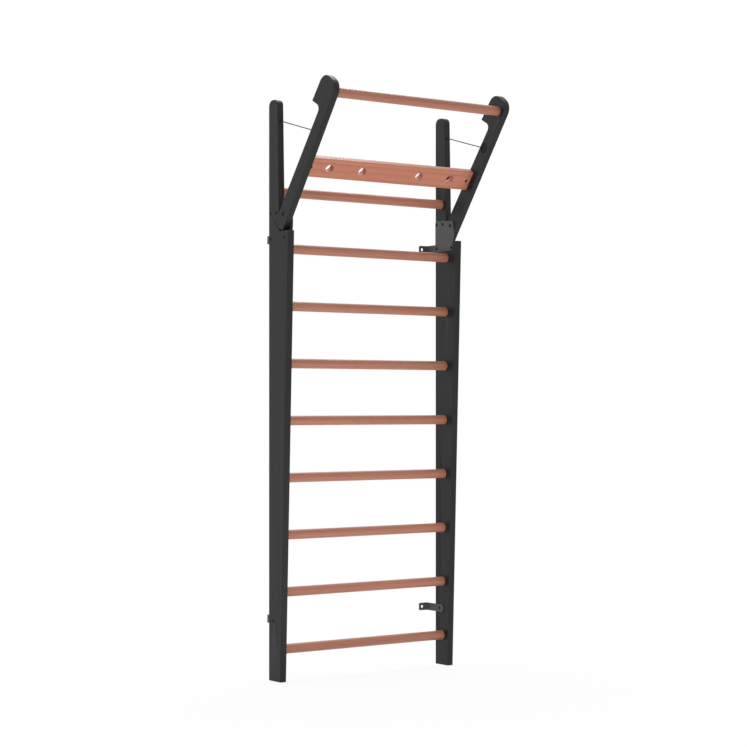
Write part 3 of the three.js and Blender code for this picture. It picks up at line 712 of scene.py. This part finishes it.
class GeometryTree(Group):
    """A geometry node tree that ends in realised instances and one material."""

    def __init__(self, name: str, inputs: Sequence[tuple]) -> None:
        """Makes the tree with its own inputs beside its geometry and material."""
        sockets = [("Geometry", "NodeSocketGeometry"), *inputs, ("Material", "NodeSocketMaterial")]
        super().__init__(name, "GeometryNodeTree", sockets, [("Geometry", "NodeSocketGeometry")])

    def place(self) -> bpy.types.Node:
        """Adds the place of each point."""
        return self.add("GeometryNodeInputPosition")

    def repeat(self, shape: Any, **inputs: Any) -> None:
        """Puts a shape at each of the tree's points and ends the tree."""
        points = {"Points": self.inlet["Geometry"], "Instance": shape, **inputs}
        self.close(self.add("GeometryNodeInstanceOnPoints", points))

    def close(self, geometry: bpy.types.Node) -> None:
        """Ends the tree.

        Args:
            geometry: the node that gives what the tree has made.
        """
        real = self.add("GeometryNodeRealizeInstances", {"Geometry": geometry})
        dressed = {"Geometry": real, "Material": self.inlet["Material"]}
        self.give(Geometry=self.add("GeometryNodeSetMaterial", dressed))

    def grow(self, name: str, places: Iterable[Vector], finish: Finish, **values: Any) -> Piece:
        """Runs the tree on some points and keeps the result as a plain mesh.

        Args:
            name: the new piece's name.
            places: the points that the tree works on.
            finish: the finish that the piece wears.
            values: the tree's other inputs, named with underscores for spaces.

        Returns:
            The new piece.
        """
        points = bpy.data.meshes.new(f"{name}_places")
        points.from_pydata([tuple(place) for place in places], [], [])
        seed = link(f"{name}_seed", points)
        modifier = seed.modifiers.new(self.tree.name, "NODES")
        modifier.node_group = self.tree
        values["Material"] = finish.material()
        for item in self.tree.interface.items_tree:
            key = item.name.replace(" ", "_")
            if item.in_out == "INPUT" and key in values:
                modifier[item.identifier] = values[key]
        graph = bpy.context.evaluated_depsgraph_get()
        mesh = bpy.data.meshes.new_from_object(seed.evaluated_get(graph))
        mesh.name = name
        bpy.data.objects.remove(seed)
        bpy.data.meshes.remove(points)
        shade_by_angle(mesh)
        return link(name, mesh)


@cache
def turned_bars_tree() -> GeometryTree:
    """Builds the tree that lays a round bar with chamfered ends along X at each point.

    Returns:
        The tree.
    """
    tree = GeometryTree(
        "turned_bars",
        [
            ("Length", FLOAT, 0.7),
            ("Radius", FLOAT, 0.017),
            ("End Chamfer", FLOAT, 0.002),
            ("Sides", INTEGER, 72),
        ],
    )
    length = tree.inlet["Length"]
    radius = tree.inlet["Radius"]
    chamfer = tree.inlet["End Chamfer"]
    bar = tree.add(
        "GeometryNodeMeshCylinder",
        {"Vertices": tree.inlet["Sides"], "Side Segments": 3, "Radius": radius, "Depth": length},
    )
    place = tree.add("ShaderNodeSeparateXYZ", {0: tree.place()}).outputs
    half = tree.math("DIVIDE", length, 2.0)
    end = tree.math("GREATER_THAN", tree.math("ABSOLUTE", place["Z"]), tree.math("DIVIDE", half, 2.0))
    inset = tree.math("MULTIPLY", tree.math("SUBTRACT", 1.0, end), chamfer)
    narrowing = tree.math("MULTIPLY", end, tree.math("DIVIDE", chamfer, radius))
    narrow = tree.math("SUBTRACT", 1.0, narrowing)
    turned = {axis: tree.math("MULTIPLY", place[axis], narrow) for axis in ("X", "Y")}
    turned["Z"] = tree.math("MULTIPLY", tree.math("SUBTRACT", half, inset), tree.math("SIGN", place["Z"]))
    turned_to = tree.add("ShaderNodeCombineXYZ", turned)
    bar = tree.add("GeometryNodeSetPosition", {"Geometry": bar, "Position": turned_to})
    tree.repeat(tree.add("GeometryNodeTransform", {"Geometry": bar, "Rotation": (0.0, math.pi / 2, 0.0)}))
    return tree


def turned_bars(name: str, nodes: Sequence[str], end_chamfer: float) -> Piece:
    """Turns round bars of one size, as one piece.

    Args:
        name: the piece's name.
        nodes: the nodes of the bars, which run along X.
        end_chamfer: chamfer of the bars' ends.

    Returns:
        The new piece.
    """
    low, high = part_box(nodes[0])
    middle = centre_of(nodes[0])
    return turned_bars_tree().grow(
        name,
        [centre_of(node) for node in nodes],
        CHERRY_TURNED,
        Length=high.x - low.x,
        Radius=max((place - middle).yz.length for place in corners_of(nodes[0])),
        End_Chamfer=end_chamfer,
    )


@cache
def fasteners_tree() -> GeometryTree:
    """Builds the tree that seats a fastener at each point, its head towards or away from the middle.

    Returns:
        The tree.
    """
    tree = GeometryTree(
        "fasteners",
        [("Fastener", "NodeSocketObject"), ("Facing", FLOAT, -1.0), ("Seed", INTEGER, 1)],
    )
    shape = tree.add("GeometryNodeObjectInfo", {"Object": tree.inlet["Fastener"]})
    place = tree.add("ShaderNodeSeparateXYZ", {0: tree.place()})
    ahead = tree.math("MULTIPLY", tree.math("SIGN", place.outputs["X"]), tree.inlet["Facing"])
    way = tree.add("ShaderNodeCombineXYZ", {"X": ahead})
    facing = tree.add("FunctionNodeAlignRotationToVector", {"Vector": way}, axis="Z")
    turns = {"Max": math.tau, "Seed": tree.inlet["Seed"]}
    drawn = tree.add("FunctionNodeRandomValue", turns, data_type="FLOAT")
    turn = next(socket for socket in drawn.outputs if socket.type == "VALUE" and socket.enabled)
    spin = tree.add("FunctionNodeAxisAngleToRotation", {"Axis": (0.0, 0.0, 1.0), "Angle": turn})
    both = {"Rotation": facing, "Rotate By": spin}
    seated = tree.add("FunctionNodeRotateRotation", both, rotation_space="LOCAL")
    tree.repeat(shape.outputs["Geometry"], Rotation=seated)
    return tree


def strand_section(tree: GeometryTree) -> bpy.types.Node:
    """Adds the section of a rope whose strands lie in a ring and touch.

    Args:
        tree: the rope's tree.

    Returns:
        The node of the section's curve.
    """
    radius = tree.inlet["Rope Radius"]
    strands = tree.inlet["Strands"]
    steps = tree.inlet["Steps Per Strand"]
    sine = tree.math("SINE", tree.math("DIVIDE", math.pi, strands))
    share = tree.math("DIVIDE", sine, tree.math("ADD", sine, 1.0))
    strand = tree.math("MULTIPLY", radius, share)
    lay_circle = tree.math("SUBTRACT", radius, strand)
    step = tree.math("MODULO", tree.add("GeometryNodeInputIndex"), steps)
    from_crest = tree.math("SUBTRACT", tree.math("DIVIDE", step, steps), 0.5)
    angle = tree.math("MULTIPLY", from_crest, tree.math("DIVIDE", math.tau, strands))
    aside = tree.math("MULTIPLY", lay_circle, tree.math("SINE", angle))
    rise = tree.math("SUBTRACT", tree.math("POWER", strand, 2.0), tree.math("POWER", aside, 2.0))
    rise = tree.math("SQRT", tree.math("MAXIMUM", rise, 0.0))
    outline = tree.math("MULTIPLY_ADD", lay_circle, tree.math("COSINE", angle), rise)
    lobes = tree.scaled(tree.place(), tree.math("DIVIDE", outline, radius))
    sides = {"Resolution": tree.math("MULTIPLY", strands, steps), "Radius": radius}
    circle = tree.add("GeometryNodeCurvePrimitiveCircle", sides)
    return tree.add("GeometryNodeSetPosition", {"Geometry": circle, "Position": lobes})


@cache
def wire_rope_tree() -> GeometryTree:
    """Builds the tree that twists touching strands into a rope, from one point to another.

    Returns:
        The tree.
    """
    tree = GeometryTree(
        "wire_rope",
        [
            ("Start", VECTOR),
            ("End", VECTOR),
            ("Rope Radius", FLOAT, 0.002),
            ("Strands", INTEGER, 6),
            ("Lay Length", FLOAT, 0.026),
            ("Steps Per Turn", INTEGER, 24),
            ("Steps Per Strand", INTEGER, 6),
        ],
    )
    way = tree.vector("SUBTRACT", tree.inlet["End"], tree.inlet["Start"])
    length = tree.vector("LENGTH", way, result="Value")
    top = tree.add("ShaderNodeCombineXYZ", {"Z": length})
    line = tree.add("GeometryNodeCurvePrimitiveLine", {"Start": (0.0, 0.0, 0.0), "End": top})
    turns = tree.math("DIVIDE", length, tree.inlet["Lay Length"])
    steps = tree.math("MULTIPLY", turns, tree.inlet["Steps Per Turn"])
    axis = tree.add("GeometryNodeResampleCurve", {"Curve": line, "Count": steps})
    along = tree.add("GeometryNodeSplineParameter").outputs["Factor"]
    twist = tree.math("MULTIPLY", along, tree.math("MULTIPLY", turns, math.tau))
    axis = tree.add("GeometryNodeSetCurveTilt", {"Curve": axis, "Tilt": twist})
    skin = {"Curve": axis, "Profile Curve": strand_section(tree), "Fill Caps": True}
    rope = tree.add("GeometryNodeCurveToMesh", skin)
    facing = tree.add("FunctionNodeAlignRotationToVector", {"Vector": way}, axis="Z")
    turn = tree.add("FunctionNodeRotationToEuler", {0: facing})
    moved = {"Geometry": rope, "Translation": tree.inlet["Start"], "Rotation": turn}
    tree.close(tree.add("GeometryNodeTransform", moved))
    return tree


@dataclass
class SubAssembly:
    """Pieces that belong together on one body.

    Attributes:
        body: the body that carries them.
    """

    body: Body

    def build(self) -> None:
        """Builds the pieces."""
        raise NotImplementedError

    def note(self, piece: Piece, finish: Finish, *nodes: str) -> None:
        """Hides the nodes that a piece stands for and logs them.

        Args:
            piece: the piece.
            finish: its finish; not used.
            nodes: the nodes that it stands for.
        """
        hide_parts(*nodes)
        log.info("%s on %s for %s", piece.name, self.body.value, ", ".join(nodes))

    def seat(self, piece: Piece, finish: Finish, *nodes: str) -> None:
        """Lets a piece ride on the body in the place of some nodes."""
        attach(piece, self.body.value)
        self.note(piece, finish, *nodes)

    def seat_eased(self, node: str, ending: str, finish: Finish, ease: float) -> None:
        """Seats an eased copy of a node, named after it, in its place."""
        self.seat(eased_copy(node, f"{node}_{ending}", finish, ease), finish, node)


@dataclass
class StayCables(SubAssembly):
    """The two wire ropes that hold the pull-up frame out, with their pressed stops.

    Attributes:
        diameter: thickness of a rope.
        lay_length: length of one turn of its strands.
        beside: how far beside the rope its entries into the wood are felt for.
        stop_ease: easing of the stops' edges.
    """

    diameter: float = 0.004
    lay_length: float = 0.026
    beside: float = 0.008
    stop_ease: float = 0.0006

    def build(self) -> None:
        """Builds both ropes, and then their stops at the posts."""
        for side in Side:
            self.stretch(side)
        for side in Side:
            self.seat_eased(f"{side}_post_cable_stop", "sleeve", ZINC, self.stop_ease)

    def stretch(self, side: Side) -> None:
        """Builds a straight rope between the cable's ends and finds where it enters the post and the arm.

        Args:
            side: the rope's side.
        """
        node = f"{side}_stay_cable"
        rear, front = axis_ends(node)
        rope = wire_rope_tree().grow(
            f"{side}_wire_rope",
            [rear],
            WIRE_WITH_PAINTED_SHADE,
            Start=rear,
            End=front,
            Rope_Radius=self.diameter / 2,
            Lay_Length=self.lay_length,
        )
        post_face = self.entry(f"{side}_upright", front, rear)
        arm_face = self.entry(f"{side}_arm", rear, front)
        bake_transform(rope)
        self.note(rope, WIRE_WITH_PAINTED_SHADE, node)

    def entry(self, node: str, start: Vector, end: Vector) -> Vector:
        """Finds where a rope enters a piece of wood, beside its bore.

        Args:
            node: the piece of wood.
            start: a point of the rope outside the wood.
            end: a point of the rope past the wood's face.

        Returns:
            The place on the rope.
        """
        polygons = [tuple(polygon.vertices) for polygon in frame["nodes"][node].data.polygons]
        wood = BVHTree.FromPolygons(corners_of(node), polygons)
        aside = Vector((self.beside, 0.0, 0.0))
        return wood.ray_cast(start + aside, end - start)[0] - aside


@dataclass
class Uprights(SubAssembly):
    """The two tapered boards with their posts.

    Attributes:
        ease: easing of the boards' edges.
    """

    ease: float = 0.0004

    def build(self) -> None:
        """Builds both boards."""
        for side in Side:
            self.seat_eased(f"{side}_upright", "board", BLACK_UPRIGHT, self.ease)


@dataclass
class Rungs(SubAssembly):
    """The turned rungs between the uprights.

    Attributes:
        prefix: what the rungs' nodes are called.
        end_chamfer: chamfer of a rung's ends.
    """

    prefix: str = "rung_"
    end_chamfer: float = 0.002

    def build(self) -> None:
        """Builds all rungs as one piece."""
        nodes = sorted(name for name in frame["nodes"] if name.startswith(self.prefix))
        self.seat(turned_bars("rungs", nodes, self.end_chamfer), CHERRY_TURNED, *nodes)


@dataclass(frozen=True)
class KeyedFastener:
    """A countersunk or straight fastener with a keyed socket, drawn with its head's face at Z = 0.

    Attributes:
        head: radius of the head.
        shank: radius of the shank.
        length: length over all.
        key: width of the socket across its flats.
        depth: depth of the socket.
        rim: chamfer round the head.
        flats: number of the socket's flats.
        steps: steps of a full circle, an even number for each flat.
    """

    head: float
    shank: float
    length: float
    key: float
    depth: float
    rim: float = 0.0003
    flats: int = 6
    steps: int = 48

    def outline(self, angle: float) -> list[tuple[float, float]]:
        """Finds the fastener's outline at an angle about its axis.

        Args:
            angle: the angle.

        Returns:
            Radius and height of its points, from the socket's floor round the head to the tip.
        """
        flat = math.tau / self.flats
        from_flat = (angle + flat / 2) % flat - flat / 2
        socket = self.key / 2 / math.cos(from_flat)
        mouth = self.rim / 2
        return [
            (socket, -self.depth),
            (socket, -mouth),
            (socket + mouth, 0.0),
            (self.head - self.rim, 0.0),
            (self.head, -self.rim),
            (self.shank, -max(self.head - self.shank, 2 * self.rim)),
            (self.shank, -self.length),
        ]

    def shape(self) -> Piece:
        """Draws the fastener.

        Returns:
            An object for a tree to repeat.
        """
        drawn = bmesh.new()
        outlines = []
        for angle in (math.tau * step / self.steps for step in range(self.steps)):
            way = Vector((math.cos(angle), math.sin(angle)))
            points = [(*(way * radius), height) for radius, height in self.outline(angle)]
            outlines.append([drawn.verts.new(point) for point in points])
        for here, there in zip(outlines, outlines[1:] + outlines[:1]):
            for corners in zip(here, there, there[1:], here[1:]):
                drawn.faces.new(corners)
        drawn.faces.new([outline[0] for outline in outlines])
        drawn.faces.new([outline[-1] for outline in outlines])
        bmesh.ops.recalc_face_normals(drawn, faces=drawn.faces)
        mesh = bpy.data.meshes.new("fastener")
        drawn.to_mesh(mesh)
        drawn.free()
        return link("fastener_shape", mesh)


@dataclass(frozen=True)
class FastenerSet:
    """Fasteners of one kind and size.

    Attributes:
        name: the name of their piece.
        parts: words that their nodes' names hold.
        facing: which way their heads look.
        key: width of their sockets.
        seed: seed of their turns.
    """

    name: str
    parts: tuple[str, ...]
    facing: Facing
    key: float
    seed: int

    def nodes(self) -> list[str]:
        """Returns the names of the fasteners' nodes."""
        return sorted(node for node in frame["nodes"] if any(part in node for part in self.parts))

    def head_place(self, node: str) -> Vector:
        """Finds the middle of the face of a fastener's head.

        Args:
            node: the fastener's node.

        Returns:
            The place.
        """
        low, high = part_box(node)
        place = centre_of(node)
        place.x = high.x if place.x * self.facing.value > 0 else low.x
        return place

    def tip_radius(self, node: str) -> float:
        """Finds the radius of a fastener's end away from its head.

        Args:
            node: the fastener's node.

        Returns:
            The radius.
        """
        low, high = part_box(node)
        tip = low.x + high.x - self.head_place(node).x
        heights = [place.z for place in corners_of(node) if abs(place.x - tip) < MERGE_DISTANCE]
        return (max(heights) - min(heights)) / 2


@dataclass
class SteelFittings(SubAssembly):
    """Hinge plates, wall brackets, their screws and nuts, and the pivot bolts.

    Attributes:
        ease: easing of the sheet steel's edges.
        key_depth: depth of the fasteners' sockets.
        fasteners: the kinds of fasteners.
    """

    ease: float = 0.0004
    key_depth: float = 0.0024
    fasteners: tuple[FastenerSet, ...] = (
        FastenerSet("countersunk_screws", ("_screw",), Facing.INWARD, 0.004, 3),
        FastenerSet("pivot_bolts", ("_pivot_bolt",), Facing.INWARD, 0.005, 8),
        FastenerSet("sleeve_nuts", ("_plate_nut", "_bracket_nut"), Facing.OUTWARD, 0.005, 5),
        FastenerSet("pivot_nuts", ("_pivot_nut",), Facing.OUTWARD, 0.006, 6),
    )

    def build(self) -> None:
        """Builds the sheet steel and the fasteners."""
        for side in Side:
            for kind in ("hinge_plate", "wall_bracket"):
                self.seat_eased(f"{side}_{kind}", "sheet", GREY_COAT, self.ease)
        for fasteners in self.fasteners:
            self.fasten(fasteners)

    def fasten(self, fasteners: FastenerSet) -> None:
        """Seats fasteners of one kind.

        Args:
            fasteners: the kind of fastener.
        """
        nodes = fasteners.nodes()
        low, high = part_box(nodes[0])
        head = (high.z - low.z) / 2
        tip = fasteners.tip_radius(nodes[0])
        shape = KeyedFastener(head, tip, high.x - low.x, fasteners.key, self.key_depth).shape()
        piece = fasteners_tree().grow(
            fasteners.name,
            [fasteners.head_place(node) for node in nodes],
            BLACK_OXIDE,
            Fastener=shape,
            Facing=fasteners.facing.value,
            Seed=fasteners.seed,
        )
        bpy.data.meshes.remove(shape.data)
        self.seat(piece, BLACK_OXIDE, *nodes)


@dataclass
class PullUpFrame(SubAssembly):
    """The swung-out frame: arms, pull-up bar, cross board and their fittings.

    Attributes:
        arm_ease: easing of the arms' edges.
        board_ease: easing of the cross board's ends and of its strap holes.
        board_segments: steps across the cross board's eased edges.
        fitting_ease: easing of the small fittings.
        end_chamfer: chamfer of the bar's ends.
        bore_inset: how far inside the board's outline a face is that belongs to a hole.
        bore_slope: how far such a face may lean towards the board's front.
    """

    arm_ease: float = 0.0004
    board_ease: float = 0.0009
    board_segments: int = 3
    fitting_ease: float = 0.0003
    end_chamfer: float = 0.002
    bore_inset: float = 0.004
    bore_slope: float = 0.5

    def build(self) -> None:
        """Builds the arms, the bar, the board and the fittings. The studs and bushes keep their form."""
        for side in Side:
            self.seat_eased(f"{side}_arm", "board", BLACK_ARM, self.arm_ease)
        bar = turned_bars("grip_bar", ["pull_up_bar"], self.end_chamfer)
        self.seat(bar, CHERRY_TURNED, "pull_up_bar")
        board = eased_copy("cross_board", "strap_board", CHERRY_PLANED, self.board_ease, self.board_segments)
        self.line_bores(board.data)
        self.seat(board, CHERRY_PLANED, "cross_board")
        for side in Side:
            for kind in ("cross_nut", "arm_cable_stop"):
                self.seat_eased(f"{side}_{kind}", "eased", BLACK_OXIDE, self.fitting_ease)
            for node, finish in ((f"{side}_arm_stud", ZINC), (f"{side}_pivot_bush", BRONZE)):
                wear(frame["nodes"][node], finish)
                log.info("%s keeps its form", node)

    def line_bores(self, board: bpy.types.Mesh) -> None:
        """Gives the walls of the board's holes the duller finish of bored wood.

        Args:
            board: the cross board's mesh, dressed all over.
        """
        bored = len(board.materials)
        board.materials.append(CHERRY_BORED.material())
        front = max(board.polygons, key=lambda polygon: polygon.area).normal.copy()
        across = front.cross(Vector((1.0, 0.0, 0.0)))
        heights = [vertex.co.dot(across) for vertex in board.vertices]
        low, high = min(heights), max(heights)
        end = max(vertex.co.x for vertex in board.vertices)
        for polygon in board.polygons:
            height = polygon.center.dot(across)
            inside = min(height - low, high - height, end - abs(polygon.center.x)) > self.bore_inset
            if inside and abs(polygon.normal.dot(front)) < self.bore_slope:
                polygon.material_index = bored


@dataclass(frozen=True)
class Softbox:
    """A large soft lamp.

    Attributes:
        name: the lamp's name.
        place: where it stands.
        aim: the point that it faces.
        width: its width and height.
        power: its power in watts.
    """

    name: str
    place: Xyz
    aim: Xyz
    width: float
    power: float

    def hang(self) -> None:
        """Puts the lamp into the scene."""
        lamp = bpy.data.lights.new(self.name, "AREA")
        lamp.shape = "SQUARE"
        lamp.size = self.width
        lamp.energy = self.power
        holder = link(self.name, lamp)
        holder.location = self.place
        way = Vector(self.aim) - Vector(self.place)
        holder.rotation_euler = way.to_track_quat("-Z", "Y").to_euler()
        holder.visible_camera = False


@dataclass
class Studio:
    """Floor, light and camera.

    Attributes:
        camera_place: where the camera stands.
        heading: how far the level camera looks to the right of the wall's normal, in degrees.
        focal_pixels: its focal length in pixels of the image.
        image_pixels: width and height of the image.
        horizon_pixels: how far below the image's top the horizon lies.
        sensor: width of the sensor in millimetres.
        floor_radius: radius of the floor.
        floor_sides: sides of the floor's outline.
        floor_colour: colour of the floor.
        floor_white: share of the background's white in the floor round the object.
        fade_start: radius where the floor starts to fade into the background.
        fade_end: radius where it has faded.
        sky_low: light of the surroundings at the horizon.
        sky_high: light of the surroundings overhead.
        sky_edge: sine of the height above which the light overhead is full.
        softboxes: the lamps.
    """

    camera_place: Xyz = (-4.0419, -5.6852, 0.9659)
    heading: float = 36.14
    focal_pixels: float = 1912.4
    image_pixels: float = 747.0
    horizon_pixels: float = 404.9
    sensor: float = 36.0
    floor_radius: float = 14.0
    floor_sides: int = 96
    floor_colour: float = 0.9
    floor_white: float = 0.91
    fade_start: float = 0.7
    fade_end: float = 2.4
    sky_low: float = 0.21
    sky_high: float = 0.66
    sky_edge: float = 0.7
    softboxes: tuple[Softbox, ...] = (
        Softbox("top_softbox", (0.5, 1.4, 4.4), (0.0, -0.2, 1.0), 3.0, 128.0),
        Softbox("low_softbox", (-0.9, -2.6, 0.05), (0.0, -0.2, 1.5), 2.4, 46.0),
        Softbox("floor_softbox", (-0.6, -1.6, 0.03), (-0.6, -1.59, 3.0), 2.2, 14.0),
    )

    def shoot(self) -> None:
        """Sets the camera at the photograph's viewing angle."""
        lens = bpy.data.cameras.new("camera")
        lens.sensor_width = self.sensor
        lens.lens = self.focal_pixels / self.image_pixels * self.sensor
        lens.shift_y = (self.horizon_pixels - self.image_pixels / 2) / self.image_pixels
        camera = link("camera", lens)
        camera.location = self.camera_place
        camera.rotation_euler = (math.pi / 2, 0.0, -math.radians(self.heading))
        bpy.context.scene.camera = camera
        bpy.context.scene.view_settings.view_transform = "Standard"

    def lay_floor(self) -> None:
        """Lays a round pale floor that fades into the background."""
        drawn = bmesh.new()
        bmesh.ops.create_circle(drawn, cap_ends=True, segments=self.floor_sides, radius=self.floor_radius)
        mesh = bpy.data.meshes.new("floor")
        drawn.to_mesh(mesh)
        drawn.free()
        material = bpy.data.materials.new("pale_floor")
        material.use_nodes = True
        mesh.materials.append(material)
        nodes = Nodes(material.node_tree)
        pale = (self.floor_colour, self.floor_colour, self.floor_colour, 1.0)
        matt = nodes.add("ShaderNodeBsdfDiffuse", {"Color": pale})
        white = nodes.add("ShaderNodeEmission", {"Color": WHITE, "Strength": 1.0})
        place = nodes.add("ShaderNodeTexCoord").outputs["Object"]
        away = nodes.vector("LENGTH", place, result="Value")
        faded = nodes.span(away, self.fade_start, self.fade_end)
        share = nodes.math("MULTIPLY_ADD", faded, 1.0 - self.floor_white, self.floor_white)
        seen = nodes.math("MULTIPLY", share, self.seen_rays(nodes))
        mixed = nodes.add("ShaderNodeMixShader", {0: seen, 1: matt, 2: white})
        nodes.add("ShaderNodeOutputMaterial", {"Surface": mixed})
        link("floor", mesh)

    @staticmethod
    def seen_rays(nodes: Nodes) -> Socket:
        """Adds a switch that is 1 for what the camera sees, also in a mirror or through glass.

        Args:
            nodes: the tree to add it to.

        Returns:
            The switch's socket.
        """
        path = nodes.add("ShaderNodeLightPath").outputs
        seen = nodes.math("ADD", path["Is Camera Ray"], path["Is Glossy Ray"], clamp=True)
        return nodes.math("ADD", seen, path["Is Transmission Ray"], clamp=True)

    def light(self) -> None:
        """Lights the object from a pale room and softboxes."""
        world = bpy.data.worlds.new("studio")
        world.use_nodes = True
        bpy.context.scene.world = world
        nodes = Nodes(world.node_tree)
        way = nodes.add("ShaderNodeTexCoord").outputs["Generated"]
        height = nodes.add("ShaderNodeSeparateXYZ", {0: way}).outputs["Z"]
        overhead = nodes.span(height, 0.0, self.sky_edge)
        room = nodes.math("MULTIPLY_ADD", overhead, self.sky_high - self.sky_low, self.sky_low)
        around = nodes.add("ShaderNodeBackground", {"Color": WHITE, "Strength": room})
        white = nodes.add("ShaderNodeBackground", {"Color": WHITE, "Strength": 1.0})
        mixed = nodes.add("ShaderNodeMixShader", {0: self.seen_rays(nodes), 1: around, 2: white})
        nodes.add("ShaderNodeOutputWorld", {"Surface": mixed})
        for softbox in self.softboxes:
            softbox.hang()


def main() -> None:
    """Builds the camera, the cables and then the rest of the object, piece by piece."""
    logging.basicConfig(level=logging.INFO, format="%(name)s: %(message)s")
    studio = Studio()
    studio.shoot()
    for kind in (StayCables, Uprights, Rungs, SteelFittings):
        kind(Body.LADDER).build()
    PullUpFrame(Body.PULL_UP_FRAME).build()
    studio.lay_floor()
    studio.light()


if __name__ == "__main__":
    main()
